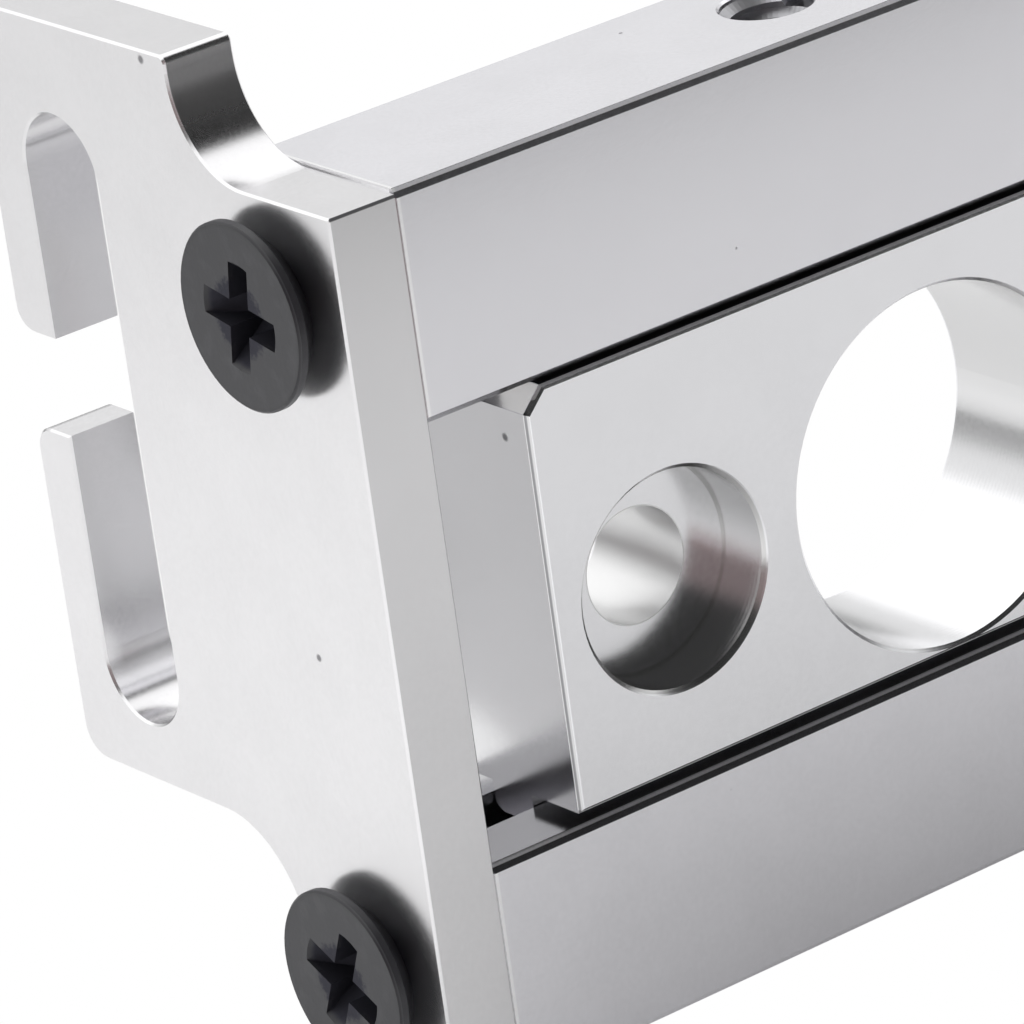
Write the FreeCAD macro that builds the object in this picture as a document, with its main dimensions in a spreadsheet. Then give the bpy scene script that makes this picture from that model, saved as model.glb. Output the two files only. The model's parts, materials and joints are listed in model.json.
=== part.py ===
import FreeCAD, Part
import math
import os

import Sketcher
from FreeCAD import Placement, Rotation, Vector

# Bracket with two grooved rails, an end plate at each end and a bored block that slides between the rails.
# X runs along the rails, Y from the front to the back and Z up. The origin is the middle of the lower
# rail's underside. All sizes are in millimetres.
SIZES = [
    ("rail_length", 53.0, "rail, from end plate to end plate"),
    ("rail_depth", 9.4, "rail and plate strip, front to back"),
    ("rail_height", 10.05, "rail, underside to top"),
    ("rail_spacing", 19.5, "clear height between the two rails"),
    ("edge_break", 0.35, "chamfer on the long edges of the rails"),
    ("groove_width", 2.8, "groove in the inner side of a rail"),
    ("groove_depth", 2.2, "groove in the inner side of a rail"),
    ("tapped_offset", 3.5, "tapped hole, left of the middle of the rail"),
    ("tapped_diameter", 4.0, "tapped hole at the thread's outer diameter"),
    ("tapped_mouth", 0.1, "chamfer at the mouth of the tapped hole"),
    ("plate_thickness", 3.4, "end plate"),
    ("plate_inset", 0.15, "strip ends inside the outer faces of the rails"),
    ("plate_break", 0.1, "chamfer round the outline of the end plate"),
    ("ear_rise", 4.95, "top of the ear above the top of the strip"),
    ("ear_base", 9.9, "underside of the ear above the lower end of the strip"),
    ("ear_reach", 15.0, "free edge of the ear behind the strip"),
    ("ear_step", 0.65, "front side of the ear behind the strip"),
    ("neck_radius", 4.2, "hollow corner above the strip"),
    ("arch_radius", 4.8, "hollow corner under the ear"),
    ("nose_radius", 0.35, "upper front corner of the ear"),
    ("corner_radius", 1.4, "free corners of the ear"),
    ("slot_width", 5.3, "slot in the ear"),
    ("slot_edge", 5.25, "middle of the slot to the free edge"),
    ("slot_top_wall", 4.2, "material above the slot"),
    ("slot_low_wall", 2.7, "material below the slot"),
    ("mouth_drop", 14.7, "top of the ear to the mouth of the slot"),
    ("mouth_height", 4.4, "mouth of the slot at the free edge"),
    ("finger_radius", 1.1, "outer corners beside the mouth"),
    ("block_length", 42.2, "sliding block along the rails"),
    ("block_depth", 8.5, "sliding block, front to back"),
    ("block_offset", 0.7, "block as it stands, left of the middle"),
    ("block_break", 0.2, "chamfer round the front and back of the block"),
    ("block_corner", 1.0, "cut on the two upper corners of the block"),
    ("gap_above", 0.2, "block to the upper rail"),
    ("gap_below", 0.55, "block to the lower rail"),
    ("tongue_reach", 0.8, "tongue inside its groove"),
    ("tongue_side_gap", 0.08, "tongue to the sides of its groove"),
    ("tongue_corner", 0.6, "rounded corners at the tip of a tongue"),
    ("bore_drop", 0.9, "middle of the bores below the middle of the window"),
    ("bore_diameter", 16.0, "large bore"),
    ("bore_break", 0.15, "bevel at the front mouth of the large bore"),
    ("bore_wall", 2.0, "large bore to each counterbore"),
    ("end_wall", 1.6, "counterbore to the end of the block"),
    ("bolt_hole", 5.1, "small hole"),
    ("bolt_seat_depth", 2.7, "counterbore of a small hole"),
    ("seat_break", 0.2, "chamfer at the mouth of a counterbore"),
    ("screw_depth", 5.4, "front face to the axis of the end screws"),
    ("screw_diameter", 3.9, "shank of an end screw"),
    ("screw_clearance", 0.05, "shank to the wall of its hole"),
    ("screw_length", 12.0, "whole end screw"),
    ("screw_tip", 0.5, "chamfer at the tip of an end screw"),
    ("screw_hole_spare", 1.5, "hole in the rail beyond the tip of the screw"),
    ("head_diameter", 8.1, "head of an end screw"),
    ("head_proud", 1.3, "head outside the end plate"),
    ("head_bevel", 0.1, "bevel on the outer edge of the head"),
    ("head_rim", 0.3, "straight rim of the head"),
    ("recess_span", 4.8, "cross recess across its wings"),
    ("recess_width", 1.25, "one wing of the recess"),
    ("recess_tip", 1.6, "recess at its floor"),
    ("recess_depth", 2.0, "cross recess"),
]

# How near two places are taken as one, and how little metal a cut may take off (mm and mm3)
NEAR = 0.01
LEAST_CUT = 0.001

COUNTERSINK_ANGLE = 90

# Each end screw: which end it is at, which rail it holds, and how far its cross is turned in degrees
SCREWS = [
    ("screw_left_upper", -1, "upper", 10.0),
    ("screw_left_lower", -1, "lower", 24.0),
    ("screw_right_upper", 1, "upper", 58.0),
    ("screw_right_lower", 1, "lower", -15.0),
]


class Size:
    """A number together with the words that work it out from the sheet."""

    def __init__(self, number, words):
        self.number = number
        self.words = words

    def __add__(self, other):
        other = as_size(other)
        return Size(self.number + other.number, f"({self.words} + {other.words})")

    def __sub__(self, other):
        other = as_size(other)
        return Size(self.number - other.number, f"({self.words} - {other.words})")

    def __mul__(self, factor):
        return Size(self.number * factor, f"({self.words} * {factor})")

    def __truediv__(self, divisor):
        return Size(self.number / divisor, f"({self.words} / {divisor})")

    def __neg__(self):
        return Size(-self.number, f"(0 - {self.words})")


def as_size(value):
    return value if isinstance(value, Size) else Size(float(value), str(value))


def make_sheet(document):
    sheet = document.addObject("Spreadsheet::Sheet", "Sizes")
    for row, (alias, number, meaning) in enumerate(SIZES, start=1):
        sheet.set(f"A{row}", meaning)
        sheet.set(f"B{row}", str(number))
        sheet.setAlias(f"B{row}", alias)
    document.recompute()
    return sheet


class Dimensions:
    """Every size on the sheet by its name, and the places that several pieces share."""

    def __init__(self, sheet):
        for alias, number, meaning in SIZES:
            setattr(self, alias, Size(float(sheet.get(alias)), f"Sizes.{alias}"))
        self.middle = self.rail_depth / 2
        self.front = -self.middle
        self.half_rail = self.rail_length / 2
        self.half_length = self.half_rail + self.plate_thickness
        self.upper_rail_foot = self.rail_height + self.rail_spacing
        self.full_height = self.upper_rail_foot + self.rail_height
        self.screw_hole = self.screw_diameter + self.screw_clearance * 2
        self.head_cone = (self.head_diameter - self.screw_diameter) / 2
        self.screw_in_rail = self.screw_length - self.head_proud - self.plate_thickness
        self.bolt_seat = (self.block_length - self.bore_diameter) / 2 - self.bore_wall - self.end_wall
        self.bolt_spacing = self.bore_diameter / 2 + self.bore_wall + self.bolt_seat / 2


def drive(item, field, size):
    """Give a property its number and tie it to the sheet."""
    item.setExpression(field, size.words)


def place(item, x, y, z, rotation=Rotation()):
    item.Placement = Placement(Vector(x.number, y.number, z.number), rotation)
    for field, size in (("x", x), ("y", y), ("z", z)):
        drive(item, f"Placement.Base.{field}", size)


def make_body(document, name):
    body = document.addObject("PartDesign::Body", name)
    body.Label = name
    return body


def make_sketch(body, role, name, offset=None):
    """A sketch on one of the body's own planes, moved along the plane's normal by the offset."""
    sketch = body.newObject("Sketcher::SketchObject", name)
    plane = next(item for item in body.Origin.OriginFeatures if item.Role == role)
    sketch.AttachmentSupport = [(plane, "")]
    sketch.MapMode = "FlatFace"
    if offset is not None:
        drive(sketch, "AttachmentOffset.Base.z", offset)
    return sketch


def fix_point(sketch, line, end, x, y):
    """Tie one point of a sketch to its distances from the origin; None puts it on the axis."""
    for kind, axis, size in (("DistanceX", -2, x), ("DistanceY", -1, y)):
        if size is None:
            sketch.addConstraint(Sketcher.Constraint("PointOnObject", line, end, axis))
            continue
        mark = sketch.addConstraint(Sketcher.Constraint(kind, -1, 1, line, end, size.number))
        drive(sketch, f"Constraints[{mark}]", size)


def number_of(size):
    return 0.0 if size is None else size.number


def draw_outline(sketch, corners):
    """Close a loop of straight lines through the corners."""
    points = [Vector(number_of(x), number_of(y), 0) for x, y in corners]
    lines = [sketch.addGeometry(Part.LineSegment(start, points[(order + 1) % len(points)]), False)
             for order, start in enumerate(points)]
    for order, line in enumerate(lines):
        sketch.addConstraint(Sketcher.Constraint("Coincident", lines[order - 1], 2, line, 1))
    for line, (x, y) in zip(lines, corners):
        fix_point(sketch, line, 1, x, y)


def draw_circle(sketch, x, y, diameter):
    centre = Vector(number_of(x), number_of(y), 0)
    ring = sketch.addGeometry(Part.Circle(centre, Vector(0, 0, 1), diameter.number / 2), False)
    fix_point(sketch, ring, 3, x, y)
    mark = sketch.addConstraint(Sketcher.Constraint("Diameter", ring, diameter.number))
    drive(sketch, f"Constraints[{mark}]", diameter)


def draw_slot(sketch, x, low, high, width):
    """An upright slot with round ends, between the centres of its two arcs."""
    radius = width / 2
    normal = Vector(0, 0, 1)
    middle, half = x.number, radius.number
    ring_low = Part.Circle(Vector(middle, low.number, 0), normal, half)
    ring_high = Part.Circle(Vector(middle, high.number, 0), normal, half)
    bottom = sketch.addGeometry(Part.ArcOfCircle(ring_low, math.pi, 2 * math.pi), False)
    top = sketch.addGeometry(Part.ArcOfCircle(ring_high, 0, math.pi), False)
    right = sketch.addGeometry(Part.LineSegment(Vector(middle + half, low.number, 0),
                                                Vector(middle + half, high.number, 0)), False)
    left = sketch.addGeometry(Part.LineSegment(Vector(middle - half, high.number, 0),
                                               Vector(middle - half, low.number, 0)), False)
    for first, first_end, second, second_end in ((bottom, 2, right, 1), (right, 2, top, 1),
                                                 (top, 2, left, 1), (left, 2, bottom, 1)):
        sketch.addConstraint(Sketcher.Constraint("Tangent", first, first_end, second, second_end))
    sketch.addConstraint(Sketcher.Constraint("Equal", bottom, top))
    sketch.addConstraint(Sketcher.Constraint("Vertical", right))
    fix_point(sketch, bottom, 3, x, low)
    mark = sketch.addConstraint(Sketcher.Constraint("DistanceY", -1, 1, top, 3, high.number))
    drive(sketch, f"Constraints[{mark}]", high)
    mark = sketch.addConstraint(Sketcher.Constraint("Radius", bottom, half))
    drive(sketch, f"Constraints[{mark}]", radius)


def pad(body, name, sketch, length, both_ways=False, backwards=False):
    feature = body.newObject("PartDesign::Pad", name)
    feature.Profile = sketch
    feature.Midplane = both_ways
    feature.Reversed = backwards
    drive(feature, "Length", length)
    body.Document.recompute()
    return feature


def check_cut(feature, before):
    """A cut that points away from the solid removes nothing and shows no error."""
    if not feature.Shape.Volume < before - LEAST_CUT:
        raise RuntimeError(f"{feature.Label} removes nothing")


def pocket(body, name, sketch, depth=None, backwards=False):
    """Cut the sketch to a depth, or right through both ways."""
    before = body.Shape.Volume
    feature = body.newObject("PartDesign::Pocket", name)
    feature.Profile = sketch
    feature.Reversed = backwards
    if depth is None:
        feature.Type = "ThroughAll"
        feature.Midplane = True
    else:
        drive(feature, "Length", depth)
    body.Document.recompute()
    check_cut(feature, before)
    return feature


def seat_hole(body, name, sketch, diameter, kind, mouth, seat_depth=None, backwards=False):
    """A through hole with a counterbore or a 90 degree countersink."""
    before = body.Shape.Volume
    body.Document.recompute()
    feature = body.newObject("PartDesign::Hole", name)
    feature.Profile = sketch
    feature.Threaded = False
    feature.DepthType = "ThroughAll"
    feature.Reversed = backwards
    feature.HoleCutType = kind
    drive(feature, "Diameter", diameter)
    drive(feature, "HoleCutDiameter", mouth)
    if seat_depth is None:
        feature.HoleCutCountersinkAngle = COUNTERSINK_ANGLE
    else:
        drive(feature, "HoleCutDepth", seat_depth)
    body.Document.recompute()
    check_cut(feature, before)
    return feature


def mirror(body, name, features, role="YZ_Plane"):
    """Repeat the features on the other side of one of the body's own planes."""
    before = body.Shape.Volume
    plane = next(item for item in body.Origin.OriginFeatures if item.Role == role)
    feature = body.newObject("PartDesign::Mirrored", name)
    feature.Originals = features
    feature.MirrorPlane = (plane, [""])
    body.Tip = feature
    body.Document.recompute()
    check_cut(feature, before)
    return feature


def edge_names(feature, wanted):
    return [f"Edge{order}" for order, edge in enumerate(feature.Shape.Edges, start=1) if wanted(edge)]


def along(edge, axis):
    """Whether an edge is straight and runs along X (0), Y (1) or Z (2)."""
    if len(edge.Vertexes) != 2:
        return False
    step = edge.Vertexes[1].Point - edge.Vertexes[0].Point
    sideways = max(abs(step[other]) for other in range(3) if other != axis)
    return sideways < NEAR < abs(step[axis])


def near(edge, places, axes):
    """Whether an edge's first end lies at one of the places, seen along the third axis."""
    point = edge.Vertexes[0].Point
    for spot in places:
        if all(abs(point[axis] - size.number) < NEAR for axis, size in zip(axes, spot)):
            return True
    return False


def is_ring(edge, radius, axis, level):
    """Whether an edge is a circle of this radius whose middle lies at this level."""
    if not isinstance(edge.Curve, Part.Circle):
        return False
    return abs(edge.Curve.Radius - radius.number) < NEAR and abs(edge.Curve.Center[axis] - level) < NEAR


def soften(body, name, kind, base, edges, size):
    """Round or chamfer some edges of a feature."""
    if not edges:
        raise RuntimeError(f"{name} finds no edges")
    feature = body.newObject(f"PartDesign::{kind}", name)
    feature.Base = (base, edges)
    drive(feature, "Radius" if kind == "Fillet" else "Size", size)
    body.Document.recompute()
    return feature


def round_edges(body, name, base, places, radius):
    """Round the edges that run through the plate's thickness at these places."""
    edges = edge_names(base, lambda edge: along(edge, 0) and near(edge, places, (1, 2)))
    return soften(body, name, "Fillet", base, edges, radius)


def rail(document, name, groove_on_top, height, dim):
    """A square bar with a groove along its inner side and a tapped hole in each end."""
    body = make_body(document, name)
    profile = make_sketch(body, "YZ_Plane", name + "_profile")
    groove_front = dim.middle - dim.groove_width / 2
    groove_back = groove_front + dim.groove_width
    if groove_on_top:
        floor = dim.rail_height - dim.groove_depth
        corners = [(None, None), (dim.rail_depth, None), (dim.rail_depth, dim.rail_height),
                   (groove_back, dim.rail_height), (groove_back, floor), (groove_front, floor),
                   (groove_front, dim.rail_height), (None, dim.rail_height)]
    else:
        corners = [(None, None), (groove_front, None), (groove_front, dim.groove_depth),
                   (groove_back, dim.groove_depth), (groove_back, None), (dim.rail_depth, None),
                   (dim.rail_depth, dim.rail_height), (None, dim.rail_height)]
    draw_outline(profile, corners)
    bar = pad(body, name + "_bar", profile, dim.rail_length, both_ways=True)
    outer = [(y, z) for y in (as_size(0), dim.rail_depth) for z in (as_size(0), dim.rail_height)]
    edges = edge_names(bar, lambda edge: along(edge, 0) and near(edge, outer, (1, 2)))
    soften(body, name + "_edges", "Chamfer", bar, edges, dim.edge_break)
    end = make_sketch(body, "YZ_Plane", name + "_end", dim.half_rail)
    draw_circle(end, dim.screw_depth, dim.rail_height / 2, dim.screw_hole)
    hole = pocket(body, name + "_end_hole", end, dim.screw_in_rail + dim.screw_hole_spare)
    mirror(body, name + "_end_holes", [hole])
    place(body, as_size(0), dim.front, height)
    return body


def tap_top(body, dim):
    """Clamping hole from the top of the upper rail down to its groove."""
    top = make_sketch(body, "XY_Plane", "tapped_sketch", dim.rail_height)
    draw_circle(top, -dim.tapped_offset, dim.middle, dim.tapped_diameter)
    hole = pocket(body, "tapped_hole", top, dim.rail_height - dim.groove_depth)
    mouth = edge_names(hole, lambda edge: is_ring(edge, dim.tapped_diameter / 2, 2, dim.rail_height.number))
    soften(body, "tapped_mouth", "Chamfer", hole, mouth, dim.tapped_mouth)


def end_plate(document, name, side, dim):
    """A strip that closes both rails, with a slotted ear behind it."""
    body = make_body(document, name)
    right = side > 0
    height = dim.full_height - dim.plate_inset * 2
    top = height + dim.ear_rise
    inner = dim.rail_depth + dim.ear_step
    free = dim.rail_depth + dim.ear_reach
    outline = make_sketch(body, "YZ_Plane", name + "_outline")
    draw_outline(outline, [(None, None), (dim.rail_depth, None), (dim.rail_depth, dim.ear_base),
                           (free, dim.ear_base), (free, top), (inner, top), (inner, height),
                           (None, height)])
    sheet = pad(body, name + "_sheet", outline, dim.plate_thickness, backwards=right)
    shape = round_edges(body, name + "_neck", sheet, [(inner, height)], dim.neck_radius)
    shape = round_edges(body, name + "_arch", shape, [(dim.rail_depth, dim.ear_base)], dim.arch_radius)
    shape = round_edges(body, name + "_nose", shape, [(inner, top)], dim.nose_radius)
    shape = round_edges(body, name + "_corners", shape, [(free, top), (free, dim.ear_base)],
                        dim.corner_radius)
    slot = make_sketch(body, "YZ_Plane", name + "_slot_sketch")
    centre = free - dim.slot_edge
    reach = dim.slot_width / 2
    draw_slot(slot, centre, dim.ear_base + dim.slot_low_wall + reach, top - dim.slot_top_wall - reach,
              dim.slot_width)
    pocket(body, name + "_slot", slot)
    mouth = make_sketch(body, "YZ_Plane", name + "_mouth_sketch")
    mouth_top = top - dim.mouth_drop
    mouth_low = mouth_top - dim.mouth_height
    outside = free + dim.plate_thickness
    draw_outline(mouth, [(centre, mouth_low), (outside, mouth_low), (outside, mouth_top),
                         (centre, mouth_top)])
    opened = pocket(body, name + "_mouth", mouth)
    shape = round_edges(body, name + "_fingers", opened, [(free, mouth_low), (free, mouth_top)],
                        dim.finger_radius)

    def on_a_face(edge):
        off_faces = [min(abs(vertex.X), abs(abs(vertex.X) - dim.plate_thickness.number))
                     for vertex in edge.Vertexes]
        return max(off_faces) < NEAR and not along(edge, 0)
    shape = soften(body, name + "_edges", "Chamfer", shape, edge_names(shape, on_a_face), dim.plate_break)
    holes = make_sketch(body, "YZ_Plane", name + "_holes")
    for spot in (dim.rail_height / 2 - dim.plate_inset, height - dim.rail_height / 2 + dim.plate_inset):
        draw_circle(holes, dim.screw_depth, spot, dim.screw_hole)
    outside_head = dim.head_proud - dim.head_bevel - dim.head_rim
    seat_hole(body, name + "_seats", holes, dim.screw_hole, "Countersink",
              dim.head_diameter - outside_head * 2, backwards=not right)
    place(body, dim.half_length * side, dim.front, dim.plate_inset)
    return body


def slide_block(document, name, dim):
    """A block between the rails, with a tongue in each groove, a large bore and two bolt holes."""
    body = make_body(document, name)
    low = dim.tongue_reach + dim.gap_below
    high = low + dim.rail_spacing - dim.gap_above - dim.gap_below
    tip = high + dim.tongue_reach + dim.gap_above
    tongue_front = dim.middle - dim.groove_width / 2 + dim.tongue_side_gap
    tongue_back = dim.middle + dim.groove_width / 2 - dim.tongue_side_gap
    profile = make_sketch(body, "YZ_Plane", name + "_profile")
    draw_outline(profile, [(None, low), (tongue_front, low), (tongue_front, None), (tongue_back, None),
                           (tongue_back, low), (dim.block_depth, low), (dim.block_depth, high),
                           (tongue_back, high), (tongue_back, tip), (tongue_front, tip),
                           (tongue_front, high), (None, high)])
    bar = pad(body, name + "_bar", profile, dim.block_length, both_ways=True)
    tips = [(depth, level) for depth in (tongue_front, tongue_back) for level in (as_size(0), tip)]
    bar = round_edges(body, name + "_tongues", bar, tips, dim.tongue_corner)
    ends = [(dim.block_length / 2, high), (-dim.block_length / 2, high)]
    edges = edge_names(bar, lambda edge: along(edge, 1) and near(edge, ends, (0, 2)))
    shape = soften(body, name + "_corners", "Chamfer", bar, edges, dim.block_corner)

    def on_front_or_back(edge):
        return any(all(abs(vertex.Y - face) < NEAR for vertex in edge.Vertexes)
                   for face in (0, dim.block_depth.number))
    soften(body, name + "_edges", "Chamfer", shape, edge_names(shape, on_front_or_back), dim.block_break)
    bore_height = dim.tongue_reach + dim.rail_spacing / 2 - dim.bore_drop
    bore = make_sketch(body, "XZ_Plane", name + "_bore_sketch")
    draw_circle(bore, None, bore_height, dim.bore_diameter)
    seat_hole(body, name + "_bore", bore, dim.bore_diameter, "Countersink",
              dim.bore_diameter + dim.bore_break * 2)
    bolt = make_sketch(body, "XZ_Plane", name + "_bolt_sketch")
    draw_circle(bolt, dim.bolt_spacing, bore_height, dim.bolt_hole)
    hole = seat_hole(body, name + "_bolt_hole", bolt, dim.bolt_hole, "Counterbore", dim.bolt_seat,
                     dim.bolt_seat_depth)
    holes = mirror(body, name + "_bolt_holes", [hole])
    mouths = edge_names(holes, lambda edge: is_ring(edge, dim.bolt_seat / 2, 1, 0))
    soften(body, name + "_mouths", "Chamfer", holes, mouths, dim.seat_break)
    place(body, -dim.block_offset, dim.front, dim.rail_height - dim.tongue_reach)
    return body


def round_bar(document, name, low_radius, high_radius, start, length):
    """One turned stretch of a screw; the axis is Z."""
    stretch = document.addObject("Part::Cone", name)
    drive(stretch, "Radius1", low_radius)
    drive(stretch, "Radius2", high_radius)
    drive(stretch, "Height", length)
    drive(stretch, "Placement.Base.z", start)
    return stretch


def shank(document, name, radius, start, length):
    bar = document.addObject("Part::Cylinder", name)
    drive(bar, "Radius", radius)
    drive(bar, "Height", length)
    drive(bar, "Placement.Base.z", start)
    return bar


def cross_recess(document, name, dim):
    """Four tapering wings: a cross held inside a cone."""
    cone = round_bar(document, name + "_recess_cone", dim.recess_span / 2, dim.recess_tip / 2, as_size(0),
                     dim.recess_depth)
    wings = []
    for order, (width, height) in enumerate(((dim.recess_width, dim.recess_span),
                                             (dim.recess_span, dim.recess_width))):
        wing = document.addObject("Part::Box", f"{name}_wing_{order}")
        drive(wing, "Length", width)
        drive(wing, "Width", height)
        drive(wing, "Height", dim.recess_depth)
        place(wing, -(width / 2), -(height / 2), as_size(0))
        wings.append(wing)
    cross = document.addObject("Part::Fuse", name + "_cross")
    cross.Base, cross.Tool = wings
    recess = document.addObject("Part::Common", name + "_recess")
    recess.Base = cone
    recess.Tool = cross
    return recess


def end_screw(document, name, side, rail_name, turn, dim):
    """A countersunk cross-head screw, from the outer side of its head towards the rail."""
    head = dim.head_diameter / 2
    core = dim.screw_diameter / 2
    below_rim = dim.head_bevel + dim.head_rim
    below_head = below_rim + dim.head_cone
    tip_start = dim.screw_length - dim.screw_tip
    stretches = [
        round_bar(document, name + "_bevel", head - dim.head_bevel, head, as_size(0), dim.head_bevel),
        shank(document, name + "_rim", head, dim.head_bevel, dim.head_rim),
        round_bar(document, name + "_cone", head, core, below_rim, dim.head_cone),
        shank(document, name + "_shank", core, below_head, tip_start - below_head),
        round_bar(document, name + "_tip", core, core - dim.screw_tip, tip_start, dim.screw_tip),
    ]
    whole = document.addObject("Part::MultiFuse", name + "_turned")
    whole.Shapes = stretches
    screw = document.addObject("Part::Cut", name)
    screw.Base = whole
    screw.Tool = cross_recess(document, name, dim)
    screw.Label = name
    height = dim.rail_height / 2 if rail_name == "lower" else dim.full_height - dim.rail_height / 2
    inwards = Rotation(Vector(0, 1, 0), -90 * side)
    place(screw, (dim.half_length + dim.head_proud) * side, dim.front + dim.screw_depth, height,
          inwards * Rotation(Vector(0, 0, 1), turn))
    return screw


def check_document(document, pieces):
    for item in document.Objects:
        if "Invalid" in item.State or "Error" in item.State:
            raise RuntimeError(f"{item.Label} did not recompute: {item.State}")
    for piece in pieces:
        if piece.Shape.isNull() or not piece.Shape.isValid() or len(piece.Shape.Solids) != 1:
            raise RuntimeError(f"{piece.Label} is not one sound solid")


def main():
    document = FreeCAD.newDocument("bracket")
    dim = Dimensions(make_sheet(document))
    upper = rail(document, "upper_rail", False, dim.upper_rail_foot, dim)
    tap_top(upper, dim)
    pieces = [upper, rail(document, "lower_rail", True, as_size(0), dim)]
    pieces += [end_plate(document, "left_end_plate", -1, dim),
               end_plate(document, "right_end_plate", 1, dim)]
    pieces.append(slide_block(document, "slide_block", dim))
    pieces += [end_screw(document, *screw, dim) for screw in SCREWS]
    document.recompute()
    check_document(document, pieces)
    os.makedirs("parts", exist_ok=True)
    for piece in pieces:
        piece.Shape.exportStep(f"parts/{piece.Label}.step")
        box = piece.Shape.BoundBox
        print(f"{piece.Label}: {piece.Shape.Volume:.1f} mm3, "
              f"x {box.XMin:.2f} to {box.XMax:.2f}, y {box.YMin:.2f} to {box.YMax:.2f}, "
              f"z {box.ZMin:.2f} to {box.ZMax:.2f}")


main()
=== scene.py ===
# %% [markdown]
# A mounting bracket in satin aluminium: two grooved rails, two slotted end plates, a bored block
# between the rails and black cross-head screws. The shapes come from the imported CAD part, because
# they are plain machined forms. This script adds what CAD leaves out: the metal's finish, the
# thread of the clamping hole, the light and the camera.

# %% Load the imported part
import json
import math

import bpy
from mathutils import Euler, Matrix, Vector


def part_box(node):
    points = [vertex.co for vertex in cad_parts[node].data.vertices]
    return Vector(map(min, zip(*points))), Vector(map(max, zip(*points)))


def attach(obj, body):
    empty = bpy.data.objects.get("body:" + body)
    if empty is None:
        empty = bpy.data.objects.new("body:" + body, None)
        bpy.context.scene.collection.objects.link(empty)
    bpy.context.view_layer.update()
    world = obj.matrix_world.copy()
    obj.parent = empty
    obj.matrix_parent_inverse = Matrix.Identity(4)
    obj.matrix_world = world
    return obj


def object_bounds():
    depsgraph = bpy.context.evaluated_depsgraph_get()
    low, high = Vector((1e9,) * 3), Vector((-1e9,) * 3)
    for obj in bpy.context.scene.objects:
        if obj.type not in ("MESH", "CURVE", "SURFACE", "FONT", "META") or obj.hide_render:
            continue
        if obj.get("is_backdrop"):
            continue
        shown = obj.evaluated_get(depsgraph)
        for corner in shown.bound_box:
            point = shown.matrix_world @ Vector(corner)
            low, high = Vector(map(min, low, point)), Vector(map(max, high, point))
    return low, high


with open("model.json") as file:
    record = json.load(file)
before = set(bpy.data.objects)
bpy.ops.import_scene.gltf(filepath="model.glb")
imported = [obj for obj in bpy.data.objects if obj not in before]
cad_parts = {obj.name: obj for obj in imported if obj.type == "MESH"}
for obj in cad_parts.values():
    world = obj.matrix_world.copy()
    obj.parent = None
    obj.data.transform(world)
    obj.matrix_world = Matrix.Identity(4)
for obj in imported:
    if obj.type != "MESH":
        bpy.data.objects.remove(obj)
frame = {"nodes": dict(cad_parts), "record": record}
print("pieces:", ", ".join(sorted(frame["nodes"])))

# %% [markdown]
# A real bracket has one outer size, and a finish doesn't change it. The box round the CAD part
# could be typed in, but measuring it before anything is added can't go out of date. It is printed
# here, and the finished model's box is printed at the end.


# %% Keep the outer size of the CAD part
def print_size(name, box):
    """The width, depth and height of a box, in millimetres."""
    print(name, "size in mm:", [round((top - bottom) * 1000, 2) for bottom, top in zip(*box)])


cad_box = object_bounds()
print_size("CAD", cad_box)

# %% [markdown]
# A material in Blender is a tree of small nodes. Placing every one by hand is slow to read, so one
# helper adds a node with its settings and sockets, and one small class lets shader maths be
# written as plain arithmetic.


# %% One helper for every node
def socket_named(sockets, name):
    """A socket by its identifier, or else by its name or place."""
    for socket in sockets:
        if socket.identifier == name:
            return socket
    return sockets[name]


def add_node(tree, kind, settings=(), sockets=()):
    """Add a node, then its settings, then the value or the link of each socket."""
    node = tree.nodes.new(kind)
    for name, value in dict(settings).items():
        setattr(node, name, value)
    for name, value in dict(sockets).items():
        feed(tree, socket_named(node.inputs, name), value)
    return node


def feed(tree, socket, value):
    """Give a socket a link if the value comes from a node, or else a plain value."""
    if isinstance(value, Term):
        value = value.socket
    if isinstance(value, bpy.types.NodeSocket):
        tree.links.new(value, socket)
    else:
        socket.default_value = value


# %% Arithmetic on sockets
class Term:
    """A number that a shader works out at every point."""

    def __init__(self, socket):
        self.socket = socket

    def math(self, operation, *values):
        tree = self.socket.id_data
        node = add_node(tree, "ShaderNodeMath", {"operation": operation},
                        dict(enumerate(values)))
        return Term(node.outputs[0])

    def __add__(self, other):
        return self.math("ADD", self, other)

    def __sub__(self, other):
        return self.math("SUBTRACT", self, other)

    def __rsub__(self, other):
        return self.math("SUBTRACT", other, self)

    def __mul__(self, other):
        return self.math("MULTIPLY", self, other)

    def __abs__(self):
        return self.math("ABSOLUTE", self)

    def __pow__(self, other):
        return self.math("POWER", self, other)

    __radd__ = __add__
    __rmul__ = __mul__

    def sine(self):
        return self.math("SINE", self)

    def larger(self, other):
        return self.math("MAXIMUM", self, other)

    def step(self, start, end):
        """0 up to the start, 1 from the end on and a soft rise between them."""
        rise = add_node(self.socket.id_data, "ShaderNodeMapRange",
                        {"interpolation_type": "SMOOTHSTEP"},
                        {"Value": self, "From Min": start, "From Max": end})
        return Term(rise.outputs["Result"])

    def fall(self, start, end):
        """1 up to the start and 0 from the end on."""
        return 1 - self.step(start, end)

    def band(self, start, end, soft):
        """1 between the start and the end; each edge is soft over the width given."""
        return self.step(start, start + soft) * self.fall(end, end + soft)


# %% Vectors, colours and noise
def split(vector):
    """The three parts of a vector, as numbers."""
    node = add_node(vector.id_data, "ShaderNodeSeparateXYZ", (), {0: vector})
    return [Term(socket) for socket in node.outputs]


def length_of(first, second):
    """How far off the axis a point is, from its distances along two directions."""
    return (first * first + second * second) ** 0.5


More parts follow.
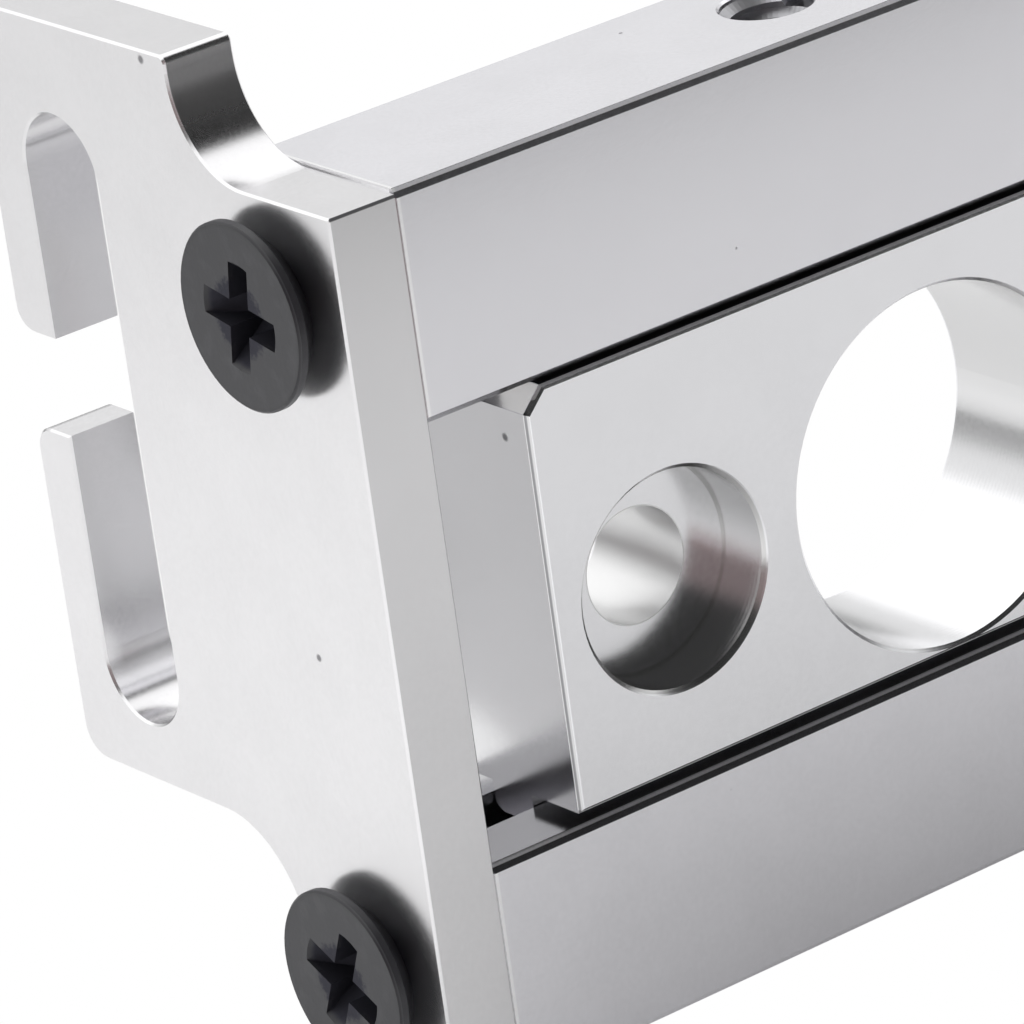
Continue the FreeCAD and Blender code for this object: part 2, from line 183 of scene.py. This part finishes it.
def blend(amount, first, second):
    """A colour between two colours."""
    colours = [value if isinstance(value, bpy.types.NodeSocket) else (*value, 1)
               for value in (first, second)]
    node = add_node(amount.socket.id_data, "ShaderNodeMix", {"data_type": "RGBA"},
                    {"Factor_Float": amount, "A_Color": colours[0], "B_Color": colours[1]})
    return socket_named(node.outputs, "Result_Color")


def noise(place, scale):
    """A soft random pattern from 0 to 1, with this many waves in a metre."""
    node = add_node(place.id_data, "ShaderNodeTexNoise", (),
                    {"Vector": place, "Scale": scale, "Detail": 3.0})
    return Term(node.outputs["Fac"])


# %% [markdown]
# Every finish of the bracket starts from the same plain shader. Its patterns could be wrapped on
# with a UV map, but a machined solid has none. Object coordinates need no unwrapping, are in
# metres, and travel with a piece when it slides.


# %% A bare material
def new_material(name):
    """A material's parts: the material, its shader and the place of each point, in metres."""
    material = bpy.data.materials.new(name)
    material.use_nodes = True
    tree = material.node_tree
    place = add_node(tree, "ShaderNodeTexCoord").outputs["Object"]
    return material, tree.nodes["Principled BSDF"], place


def bump(shader, height, strength):
    """Shade the surface as if a height, worth 0.03 mm where it is 1, were cut into it."""
    node = add_node(shader.id_data, "ShaderNodeBump", (),
                    {"Height": height, "Strength": strength, "Distance": 0.00003})
    feed(shader.id_data, shader.inputs["Normal"], node.outputs[0])


# %% [markdown]
# The real rails and plates are drawn aluminium with a satin finish: a metal that blurs what it
# mirrors. A flat grey would look like plastic, so three patterns share the work. A fine noise is
# the grain, a broad one is the faint cloudiness of handled metal, and a loose net of cells makes
# the small dark pits that show here and there.


# %% Pits and dents
def pits(place, spacing, radius, share):
    """Small round spots, 1 inside, in a share of the cells of a loose net, in metres."""
    cells = add_node(place.id_data, "ShaderNodeTexVoronoi", (),
                     {"Vector": place, "Scale": 1 / spacing})
    near = Term(cells.outputs["Distance"]).fall(radius / spacing * 0.6, radius / spacing)
    chosen = split(cells.outputs["Color"])[0].step(1 - share, 1 - share + 0.02)
    return near * chosen


def dent(place, point, radius):
    """One small round spot at a point, 1 inside."""
    away = add_node(place.id_data, "ShaderNodeVectorMath", {"operation": "DISTANCE"},
                    {0: place, 1: point})
    return Term(away.outputs["Value"]).fall(radius * 0.4, radius)


# %% Satin aluminium
GRAIN_SCALE = 5200.0
CLOUD_SCALE = 260.0
PIT_SPACING = 0.0045
PIT_RADIUS = 0.00013
PIT_SHARE = 0.35
PIT_GREY = (0.16, 0.16, 0.17)
DARK_SHARE = 0.94
MATT_BLUR = 0.45


def aluminium(name, colour, roughness, edges=None, marks=None, matt=None, dents=()):
    """Satin aluminium; edges paints shade, highlights and other tones into the colour, marks adds
    tool marks and matt blurs chosen places.
    """
    material, shader, place = new_material(name)
    tree = shader.id_data
    grain = noise(place, GRAIN_SCALE)
    cloud = noise(place, CLOUD_SCALE)
    pitted = pits(place, PIT_SPACING, PIT_RADIUS, PIT_SHARE)
    for point, radius in dents:
        pitted = pitted.larger(dent(place, point, radius))

    # grain and cloud share the change of tone; in the gloss they average out at the roughness
    shade = grain.step(0.3, 0.7) * 0.55 + cloud.step(0.3, 0.7) * 0.45
    skin = blend(shade, tuple(channel * DARK_SHARE for channel in colour), colour)
    # edges paints shade and highlights into the colour of the piece
    if edges is not None:
        skin = edges(place, skin)
    blur = grain * 0.08 + cloud * 0.04 + (roughness - 0.06) + pitted * 0.3
    if matt is not None:
        blur = blur + matt(place) * MATT_BLUR
    # a pit is several times deeper than the grain
    height = grain * 0.5 + cloud * 0.2 - pitted * 3.0
    if marks is not None:
        height = height + marks(place)

    feed(tree, shader.inputs["Base Color"], blend(pitted * 0.75, skin, PIT_GREY))
    feed(tree, shader.inputs["Metallic"], 1.0)
    feed(tree, shader.inputs["Roughness"], blur)
    bump(shader, height, 0.06)
    return material


# %% [markdown]
# The block's large bore, its bolt holes and their counterbores are turned or milled, which leaves
# fine rings round their walls. They could be cut into the mesh, but they are far too small, so a
# wave along the depth feeds the bump, and only near the axis of each bore.

# %% Where the block's bores are
mounts = {mount["name"]: mount for mount in frame["record"]["mounts"]}
bore_x, _, bore_z = mounts["large_bore"]["pos_m"]
bore_radius = mounts["large_bore"]["dims"]["r_mm"] / 1000
hole_radius = mounts["block_bolts"]["dims"]["hole_r_mm"] / 1000
hole_spacing = mounts["block_bolts"]["dims"]["spacing_x_mm"] / 1000
block_low, block_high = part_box("slide_block")
block_front = block_low[1]
block_depth = block_high[1] - block_front
print("bore axis:", bore_x, bore_z, "radius", bore_radius, "holes apart", hole_spacing)


# %% Masks for round walls
def up_to_wall(off_axis, radius):
    """1 inside a round wall and on it, and 0 just outside it."""
    return off_axis.fall(radius + 0.00002, radius + 0.00008)


def off_bore(x, z):
    """How far a point is off the axis of the large bore."""
    return length_of(x - bore_x, z - bore_z)


def off_holes(x, z):
    """How far a point is off the axis of each bolt hole."""
    return [length_of(x - (bore_x + side * hole_spacing / 2), z - bore_z) for side in (-1, 1)]


# %% Rings in the bores
RING_PITCH = 0.00022
RING_HEIGHT = 0.22
SEAT_RADIUS = 0.00485  # just outside the walls of the counterbores


def bore_rings(place):
    """Fine rings along the depth of each bore and counterbore, which end before the back."""
    x, y, z = split(place)
    inside = up_to_wall(off_bore(x, z), bore_radius)
    for off_axis in off_holes(x, z):
        inside = inside + off_axis.fall(SEAT_RADIUS, SEAT_RADIUS + 0.00006)
    inside = inside * (y - block_front).fall(block_depth - 0.0002, block_depth - 0.0001)
    return (y * (2 * math.pi / RING_PITCH)).sine() * inside * RING_HEIGHT


# %% [markdown]
# The block's cuts get colours of their own. Painted shade darkens the walls of the bores, holes
# and counterbores, most of all in their upper halves. The left end face is a darker grey, a painted
# highlight lies on the bevel at the upper left, and painted shade runs down the left front edge.
# Each could be a material of its own with its faces picked by hand. A mask on the distance to the
# cut needs no picking, so each cut gets one small function that changes the colour where it lies.

# %% Tones of the block's cuts
# painted shade: the greys of the bore walls and of the counterbores' upper halves
WALL_SHADE_GREY = (0.70, 0.70, 0.70)
SEAT_SHADE_GREY = (0.585, 0.585, 0.585)
SEAT_DEPTH = 0.0027
END_GREY = (0.77, 0.77, 0.78)
# painted highlight on the bevel at the upper left of the block
BEVEL_HIGHLIGHT_WHITE = (1.0, 1.0, 0.96)
BEVEL_SIZE = 0.001
# painted shade on the broken edge down the block's left front
EDGE_SHADE_GREY = (0.66, 0.66, 0.67)
EDGE_SHADE_DARK = (0.30, 0.30, 0.31)
EDGE_SIZE = 0.00018
BLOCK_GAP = 0.0002
HAIR = 0.00002

rail_low, rail_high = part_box("upper_rail")
body_top = rail_low[2] - BLOCK_GAP
print("the block's body ends at z", round(body_top, 5))


def bore_wall_shade(place, skin):
    """Painted shade inside the bores and holes, most of all in the upper half of the counterbores.
    """
    x, y, z = split(place)
    depth = y - block_front
    height = z - bore_z
    # painted shade: the lower half of the large bore is darkened half as much as the upper one
    walls = up_to_wall(off_bore(x, z), bore_radius) * (height.step(-0.0045, 0.001) * 0.45 + 0.45)
    seats = 0
    for off_axis in off_holes(x, z):
        ring = off_axis.step(SEAT_RADIUS - 0.00025, SEAT_RADIUS - 0.00018)
        seats = seats + ring * up_to_wall(off_axis, SEAT_RADIUS)
        walls = walls + up_to_wall(off_axis, hole_radius)
    seats = seats * depth.fall(SEAT_DEPTH, SEAT_DEPTH + 0.0001)
    behind_front = depth.step(0.00003, 0.00008)
    before_back = depth.fall(block_depth - 0.0001, block_depth - 0.00005)
    skin = blend((walls + seats) * behind_front * before_back, skin, WALL_SHADE_GREY)
    return blend(seats * height.step(-0.001, 0.002) * behind_front, skin, SEAT_SHADE_GREY)


def sawn_end(place, skin):
    """The block's left end face."""
    inwards = split(place)[0] - block_low[0]
    return blend(inwards.fall(0.00001, 0.00003), skin, END_GREY)


def top_bevel_highlight(place, skin):
    """A painted highlight in near-white on the chamfer at the upper left corner of the block's
    front.
    """
    x, y, z = split(place)
    bevel_highlight = (x - block_low[0]).band(HAIR, BEVEL_SIZE, HAIR)
    bevel_highlight = bevel_highlight * (body_top - z).band(HAIR, BEVEL_SIZE, HAIR)
    # painted highlight in near-white
    return blend(bevel_highlight * (y - block_front).step(0.00022, 0.00026), skin, BEVEL_HIGHLIGHT_WHITE)


def left_edge_shade(place, skin):
    """Painted shade on the broken edge down the left of the front: grey, and dark in its outer
    half.
    """
    x, y, z = split(place)
    inwards = x - block_low[0]
    edge = inwards.band(0.00001, EDGE_SIZE, HAIR) * (y - block_front).band(HAIR, EDGE_SIZE, HAIR)
    # painted shade: grey on the edge, then dark in its outer half
    skin = blend(edge, skin, EDGE_SHADE_GREY)
    return blend(edge * inwards.fall(0.00008, 0.00012), skin, EDGE_SHADE_DARK)


def block_tones(place, skin):
    """The block's painted shade and highlight and its darker end face, one after another."""
    for tone in (bore_wall_shade, sawn_end, top_bevel_highlight, left_edge_shade):
        skin = tone(place, skin)
    return skin


# %% Duller places of the block
CHAMFER_AWAY = 0.0090
HOLE_MATT = 0.25


def block_matt(place):
    """The long front chamfers, and a little the drilled holes, which no tool polished."""
    x, y, z = split(place)
    depth = y - block_front
    away = abs(z - (block_low[2] + block_high[2]) / 2)
    matt = depth.step(0.00009, 0.00012) * depth.fall(0.0002, 0.00022)
    matt = matt * away.step(CHAMFER_AWAY, CHAMFER_AWAY + 0.0001)
    for off_axis in off_holes(x, z):
        matt = matt + up_to_wall(off_axis, hole_radius) * HOLE_MATT
    return matt


# %% [markdown]
# The real rails have hair-thin broken edges that are too small for the solids: they catch the light
# at the sawn ends and mirror the dark front along the top. Loops of fine bevels would do it too, at
# the price of many slivers, so masks near those edges paint a highlight at the ends and shade on
# the top chamfer, and set its gloss. A mask on the lower rail's top paints the shade under the
# block.

# %% Fine edges of the rails
EDGE_WIDTH = 0.00014
# painted highlight for the rail ends; painted shade for the lower rail's top and the top chamfers
END_HIGHLIGHT_WHITE = (0.98, 0.98, 0.98)
LIP_SHADE_GREY = (0.45, 0.45, 0.46)
TOP_EDGE_SHADE_GREY = (0.36, 0.36, 0.38)
CHAMFER_MIDDLE = 0.00013

lip_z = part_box("lower_rail")[1][2]
print("the rails' tops are at z", round(rail_high[2], 5), "and", round(lip_z, 5))


def rail_end_highlights(place, skin):
    """A painted highlight: a bright line beside the end plates."""
    out = abs(split(place)[0])
    end = out.step(rail_high[0] - EDGE_WIDTH * 1.3, rail_high[0] - EDGE_WIDTH * 0.7)
    # painted highlight near the rail ends
    return blend(end * 0.7, skin, END_HIGHLIGHT_WHITE)


def top_edges(place, start, end):
    """The long front chamfer on top of each rail, between two depths below the rail's top."""
    x, y, z = split(place)
    depth = y - rail_low[1]
    mask = 0
    for top in (rail_high[2], lip_z):
        mask = mask + (top - z).band(start, end, HAIR)
    return mask * depth.step(0.00001, 0.00002) * depth.fall(0.0004, 0.0005)


def rail_matt(place):
    """The upper part of that chamfer is worn dull by handling."""
    return top_edges(place, 0.00001, CHAMFER_MIDDLE)


def rail_tones(place, skin):
    """A painted highlight at the ends, and painted shade on the lower rail's top and on the lower
    part of the chamfer.
    """
    skin = rail_end_highlights(place, skin)
    # painted shade on the lower rail's top, under and beside the block
    lip_shade = abs(split(place)[2] - lip_z).fall(0.00003, 0.00008)
    skin = blend(lip_shade * 0.8, skin, LIP_SHADE_GREY)
    # painted shade on the lower part of each rail's top chamfer
    return blend(top_edges(place, CHAMFER_MIDDLE, 0.00035), skin, TOP_EDGE_SHADE_GREY)


# %% [markdown]
# Each end plate is one sawn outline. The strip's upper edge gets a fine dark line of painted shade,
# where a fine chamfer would mirror the dark front, and the hollow neck below the ear is filed by
# hand, so it is a little duller than the faces. Both could be cut as faces of their own, but masks
# are enough for a line and a change of gloss.

# %% Fine edges of the end plates
plate_low, plate_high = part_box("left_end_plate")
strip_z = rail_high[2] - plate_low[2]
neck_z = rail_high[2] + 0.0012
# painted shade for the strip's upper front edge
EDGE_SHADE_BLACK = (0.05, 0.05, 0.055)
NECK_MATT = 0.22
print("the strip ends at z", round(strip_z, 5), "and the neck starts at z", round(neck_z, 5))


def plate_edge_shade(place, skin):
    """Painted shade: the dark line along the strip's upper front edge."""
    x, y, z = split(place)
    top = z.step(strip_z - EDGE_WIDTH * 1.2, strip_z - EDGE_WIDTH * 0.8)
    front = (y - plate_low[1]).fall(EDGE_WIDTH * 0.2, EDGE_WIDTH * 0.4)
    # painted shade: a dark line on the strip's upper front edge
    return blend(top * front * 0.9, skin, EDGE_SHADE_BLACK)


def plate_matt(place):
    """The neck, but not the plate's two faces beside it or the ear's top above it."""
    x, y, z = split(place)
    height = z.step(neck_z, neck_z + 0.0016)
    height = height * z.fall(plate_high[2] - 0.0003, plate_high[2] - 0.0001)
    between_faces = abs(x).band(-plate_high[0] + 0.00004, -plate_low[0] - 0.00008, 0.00004)
    return height * between_faces * y.fall(0.012, 0.013) * NECK_MATT


# %% [markdown]
# The screws have a black oxide skin: dark and only half shiny. The cross recess is deep and
# rough, so it gets a finish of its own. It could be a second material on the faces of the cross,
# but how far a point lies inside the head picks the same place.

# %% Where the screws are
screw_low, screw_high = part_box("screw_left_upper")
screw_y = (screw_low[1] + screw_high[1]) / 2
upper_z, lower_z = [sum(corner[2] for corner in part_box(name)) / 2
                    for name in ("screw_left_upper", "screw_left_lower")]
head_x = max(abs(screw_low[0]), abs(screw_high[0]))
head_radius = (screw_high[1] - screw_low[1]) / 2
print("screw axes at y", round(screw_y, 5), "z", round(upper_z, 5), round(lower_z, 5))

# %% Black steel
RECESS_RADIUS = 0.00245
BETWEEN_SCREWS = 0.0198
OXIDE_DARK = (0.016, 0.016, 0.021)
OXIDE_WORN = (0.036, 0.037, 0.043)
RIM_BLACK = (0.012, 0.012, 0.016)
SIDE_GREY = (0.045, 0.045, 0.052)
RECESS_GREY = (0.06, 0.06, 0.075)


def black_steel(name):
    """Black oxide steel with a darker rim, a lighter grey side of the head and a rough recess."""
    material, shader, place = new_material(name)
    tree = shader.id_data
    x, y, z = split(place)
    grain = noise(place, 4200.0)
    worn = noise(place, 900.0).step(0.45, 0.75)
    upper = z.step(BETWEEN_SCREWS, BETWEEN_SCREWS + 0.0001)
    off_axis = length_of(y - screw_y, z - (upper * (upper_z - lower_z) + lower_z))
    sunk = abs(x).fall(head_x - 0.0003, head_x - 0.00006)
    recess = off_axis.fall(RECESS_RADIUS - 0.00008, RECESS_RADIUS) * sunk
    # the grain frays the border of the rough place round the cross
    recess = recess.larger((off_axis + grain * 0.0009).fall(0.0019, 0.0023))
    rim = off_axis.step(head_radius - 0.0003, head_radius - 0.0001)
    side = abs(x).fall(head_x - 0.0001, head_x - 0.00004)

    skin = blend(grain * 0.5 + worn * 0.5, OXIDE_DARK, OXIDE_WORN)
    skin = blend(rim * 0.7, skin, RIM_BLACK)
    skin = blend(rim * side, skin, SIDE_GREY)
    feed(tree, shader.inputs["Base Color"], blend(recess, skin, RECESS_GREY))
    feed(tree, shader.inputs["Metallic"], recess)
    feed(tree, shader.inputs["Specular IOR Level"], 0.5)
    feed(tree, shader.inputs["Roughness"], grain * 0.12 + 0.34 + recess * 0.3)
    bump(shader, grain + worn * 1.5, 0.12)
    return material


# %% [markdown]
# Plates, rails and block are cut from different stock, so each has its own tone of the same satin
# aluminium. The finish could be set piece by piece. The CAD part already names a slot for every
# solid, so one table from slot to finish keeps pieces of one kind alike.

# %% Give every solid its finish
PLATE_DENTS = [((-0.0299, 0.00068, 0.01926), 0.00022), ((-0.0299, 0.0070, 0.0440), 0.00025)]
BLOCK_DENTS = [((-0.0218, -0.00305, 0.02707), 0.00024), ((-0.0218, 0.0009, 0.0274), 0.0003)]
finishes = {
    "plate_aluminium": aluminium(
        "plate_aluminium", (0.755, 0.75, 0.76), 0.22,
        edges=plate_edge_shade, matt=plate_matt, dents=PLATE_DENTS),
    "rail_aluminium": aluminium(
        "rail_aluminium", (0.80, 0.795, 0.825), 0.20,
        edges=rail_tones, matt=rail_matt),
    "block_aluminium": aluminium(
        "block_aluminium", (0.87, 0.87, 0.89), 0.20,
        edges=block_tones, marks=bore_rings, matt=block_matt, dents=BLOCK_DENTS),
    "black_screw": black_steel("black_screw"),
}
slot_of = {part["node"]: part["material_slot"] for part in frame["record"]["subparts"]}
for name, node in frame["nodes"].items():
    for slot in node.material_slots:
        slot.material = finishes[slot_of[name]]
print("finishes:", ", ".join(sorted(finishes)))

# %% [markdown]
# The clamping hole in the upper rail has an M4 thread. A thread is one shape that follows a path,
# so Geometry Nodes winds a small square bar along a spiral, with one edge pointing inwards, and
# each turn shows as a sharp ridge. A screw modifier could do it too, but here every size is a
# named input.


# %% The tree that winds a thread
def thread_tree():
    """A tree that sweeps a square bar along a spiral, with its sizes as named inputs."""
    tree = bpy.data.node_groups.new("thread", "GeometryNodeTree")
    add = tree.interface.new_socket
    add(name="Geometry", in_out="INPUT", socket_type="NodeSocketGeometry")
    for name in ("Turns", "Radius", "Length", "Ridge"):
        add(name=name, in_out="INPUT", socket_type="NodeSocketFloat")
    add(name="Material", in_out="INPUT", socket_type="NodeSocketMaterial")
    add(name="Geometry", in_out="OUTPUT", socket_type="NodeSocketGeometry")
    given = add_node(tree, "NodeGroupInput").outputs
    spiral = add_node(tree, "GeometryNodeCurveSpiral", (), {
        "Resolution": 48, "Rotations": given["Turns"], "Height": given["Length"],
        "Start Radius": given["Radius"], "End Radius": given["Radius"]})
    upright = add_node(tree, "GeometryNodeSetCurveNormal", {"mode": "Z_UP"},
                       {"Curve": spiral.outputs[0]})
    square = add_node(tree, "GeometryNodeCurvePrimitiveCircle", (),
                      {"Resolution": 4, "Radius": given["Ridge"]})
    swept = add_node(tree, "GeometryNodeCurveToMesh", (), {
        "Curve": upright.outputs[0], "Profile Curve": square.outputs[0], "Fill Caps": True})
    flat = add_node(tree, "GeometryNodeSetShadeSmooth", (), {
        "Geometry": swept.outputs[0], "Shade Smooth": False})
    real = add_node(tree, "GeometryNodeRealizeInstances", (), {"Geometry": flat.outputs[0]})
    paint = add_node(tree, "GeometryNodeSetMaterial", (), {
        "Geometry": real.outputs[0], "Material": given["Material"]})
    add_node(tree, "NodeGroupOutput", (), {"Geometry": paint.outputs[0]})
    return tree


# %% Run a tree once and keep a plain mesh
def grow(name, tree, values):
    """A new object with the mesh that a tree makes from these inputs."""
    holder = bpy.data.objects.new(name + "_maker", bpy.data.meshes.new(name + "_maker"))
    bpy.context.collection.objects.link(holder)
    modifier = holder.modifiers.new("make", "NODES")
    modifier.node_group = tree
    for item in tree.interface.items_tree:
        if item.in_out == "INPUT" and item.name in values:
            modifier[item.identifier] = values[item.name]
    bpy.context.view_layer.update()
    grown = holder.evaluated_get(bpy.context.evaluated_depsgraph_get())
    mesh = bpy.data.meshes.new_from_object(grown)
    holder.modifiers.remove(modifier)
    bpy.data.objects.remove(holder)
    piece = bpy.data.objects.new(name, mesh)
    bpy.context.collection.objects.link(piece)
    return piece


# %% The thread of the clamping hole
PITCH = 0.0007
THREAD_LENGTH = 0.0072
THREAD_BELOW_TOP = 0.00045
START_ANGLE = math.radians(-125)

tap_x = mounts["clamp_hole"]["pos_m"][0]
tap_radius = mounts["clamp_hole"]["dims"]["r_mm"] / 1000
turns = THREAD_LENGTH / PITCH
thread = grow("clamp_thread", thread_tree(), {
    "Turns": turns,
    "Radius": tap_radius,
    "Length": THREAD_LENGTH,
    "Ridge": PITCH / 2,
    # the thread's grey is darker than the rail's, which paints the shade inside the hole
    "Material": aluminium("thread_aluminium", (0.55, 0.55, 0.57), 0.40),
})
thread_foot = rail_high[2] - THREAD_BELOW_TOP - THREAD_LENGTH
thread.data.transform(Matrix.Translation((tap_x, 0.0, thread_foot))
                      @ Matrix.Rotation(START_ANGLE - turns * 2 * math.pi, 4, "Z"))
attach(thread, "frame")
print("thread:", round(turns, 1), "turns,", len(thread.data.polygons), "faces")

# %% [markdown]
# Metal shows what stands round it, so the light is one small studio that the metal can mirror.
# Lamps would do for paint, but on satin metal they show as hot spots, so the world itself is
# drawn. Behind, above and at the sides is a pale tent, with a brighter band halfway up and a
# softly lit place behind on the left. The front is dark, which gives the thin black lines along
# the edges, but for a warm panel low on the left. A grey streak low behind shows inside the
# bores. The camera itself sees plain white.

# %% The tent
TENT_LEVEL = 0.89
BAND_LEVEL = 0.56
GLOW_WAY = (-0.59, 0.72, 0.36)
GLOW_LEVEL = 0.08
GLOOM_LEVEL = 0.023
GLOOM_RISE = 0.034
PANEL_LEVEL = 0.30
PANEL_COLOUR = (1.0, 0.80, 0.80)


def light_tent():
    """A world whose brightness depends on the way that a mirrored ray leaves the metal."""
    world = bpy.data.worlds.new("tent")
    bpy.context.scene.world = world
    world.use_nodes = True
    tree = world.node_tree
    x, y, z = split(add_node(tree, "ShaderNodeTexCoord").outputs["Generated"])
    leftwards = 0 - x
    forwards = 0 - y

    cx, cy, cz = Vector(GLOW_WAY).normalized()
    glow = (x * cx + y * cy + z * cz).step(math.cos(math.radians(30)), math.cos(math.radians(8)))
    sky = z.step(0.38, 0.48) * z.fall(0.86, 0.97)
    streak = z.step(-0.14, -0.07) * z.fall(0.12, 0.24) * y.step(0.25, 0.45)
    pale = (TENT_LEVEL + sky * BAND_LEVEL + glow * GLOW_LEVEL) * (1 - streak * (0.58 - z * 1.2))

    front = forwards.step(0.10, 0.30) * z.step(-0.15, -0.05)
    gloom = GLOOM_LEVEL + forwards.step(0.42, 0.80) * GLOOM_RISE
    panel = front * leftwards.step(0.34, 0.46) * z.fall(0.30, 0.46)
    level = pale * (1 - front) + gloom * (front - panel) + panel * PANEL_LEVEL

    seen = Term(add_node(tree, "ShaderNodeLightPath").outputs["Is Camera Ray"])
    background = tree.nodes["Background"]
    feed(tree, background.inputs["Color"],
         blend(panel * (1 - seen), (1.0, 1.0, 1.0), PANEL_COLOUR))
    feed(tree, background.inputs["Strength"], seen + level * (1 - seen))
    return world


tent = light_tent()
print("tent:", len(tent.node_tree.nodes), "nodes")

# %% [markdown]
# The bracket stands on a white table. A plain white plane would be mirrored in the plates and
# rails much too brightly, so the metal sees a dimmer table than the camera does. It glows most on
# the left and in a strip that runs out from the left plate's corner, turns to black felt far in
# front, and has a reddish card in front on the left, which gives the warm tone inside the
# counterbores. The camera sees plain white.

# %% The white table
CORNER_X, CORNER_Y = -0.03, -0.0047
STRIP_COS, STRIP_SIN = 0.818, 0.575
STRIP_OFFSET = 0.006
TABLE_LEVEL = 0.19
LEFT_LEVEL = 0.26
STRIP_LEVEL = 0.27
FAR_DIMS = 0.12
CARD_LEVEL = 0.08
TABLE_WHITE = (0.82, 0.82, 0.82)
FELT_BLACK = (0.08, 0.08, 0.08)
CARD_RED = (0.42, 0.24, 0.24)


def table_white():
    """White to the camera; in the metal it is brightest on the left and dark far in front."""
    material, shader, place = new_material("table_white")
    tree = shader.id_data
    x, y, z = split(place)
    left = (0 - x).step(0.005, 0.055)
    far = length_of(x, y).step(0.09, 0.14)
    ahead = (0 - y).step(0.098, 0.125)

    from_x, from_y = x - CORNER_X, y - CORNER_Y
    along = (0 - from_x) * STRIP_COS - from_y * STRIP_SIN
    across = abs(from_y * STRIP_COS - from_x * STRIP_SIN - STRIP_OFFSET)
    strip = along.step(0.01, 0.025) * across.fall(0.004, 0.010)
    card = (x - y).step(-0.004, 0.006) * (0 - x).step(0.034, 0.042)
    card = card * length_of(x, y).step(0.066, 0.084)

    level = TABLE_LEVEL + left * LEFT_LEVEL + strip * STRIP_LEVEL - far * left * FAR_DIMS
    level = level * (1 - ahead * 0.9) * (1 - card) + card * CARD_LEVEL
    cloth = blend(ahead, TABLE_WHITE, FELT_BLACK)
    feed(tree, shader.inputs["Base Color"], blend(card, cloth, CARD_RED))
    feed(tree, shader.inputs["Roughness"], 0.9)
    feed(tree, shader.inputs["Specular IOR Level"], 0.1)

    seen = Term(add_node(tree, "ShaderNodeLightPath").outputs["Is Camera Ray"])
    glow = add_node(tree, "ShaderNodeEmission", (), {"Strength": level})
    both = add_node(tree, "ShaderNodeAddShader", (), {0: shader.outputs[0], 1: glow.outputs[0]})
    white = add_node(tree, "ShaderNodeEmission", (), {"Strength": 1.0})
    mix = add_node(tree, "ShaderNodeMixShader", (),
                   {0: seen, 1: both.outputs[0], 2: white.outputs[0]})
    feed(tree, tree.nodes["Material Output"].inputs["Surface"], mix.outputs[0])
    return material


bpy.ops.mesh.primitive_plane_add(size=0.5, location=(0, 0, -0.0001))
table = bpy.context.object
table.name = "table"
table.data.materials.append(table_white())
table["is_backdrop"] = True
print("table:", round(table.dimensions[0], 3), "m wide")

# %% [markdown]
# The photograph was taken from in front, from the left and a little above, close to the left end.
# A short lens nearby would make the rails taper, so the camera stands farther back with a long
# lens, which keeps parallel edges nearly parallel. Its place and turn come from fitting the
# edges of the solids to those in the photograph.

# %% The camera
camera_data = bpy.data.cameras.new("camera")
camera_data.lens = 265.58
camera_data.sensor_width = 36.0
camera_data.clip_start = 0.01
camera = bpy.data.objects.new("camera", camera_data)
camera.location = (-0.185883, -0.238103, 0.136499)
camera.rotation_euler = Euler([math.radians(turn) for turn in (68.3423, 7.4928, -37.8526)], "XYZ")
bpy.context.collection.objects.link(camera)
scene = bpy.context.scene
scene.camera = camera
scene.view_settings.view_transform = "Standard"
print("camera:", round(camera.location.length, 3), "m from the bracket's foot")

# %% [markdown]
# The thread is the only piece that was added, and it lies inside the rail, so both boxes have to
# be the same.

# %% The outer size of the finished model
visual_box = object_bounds()
print_size("visual", visual_box)
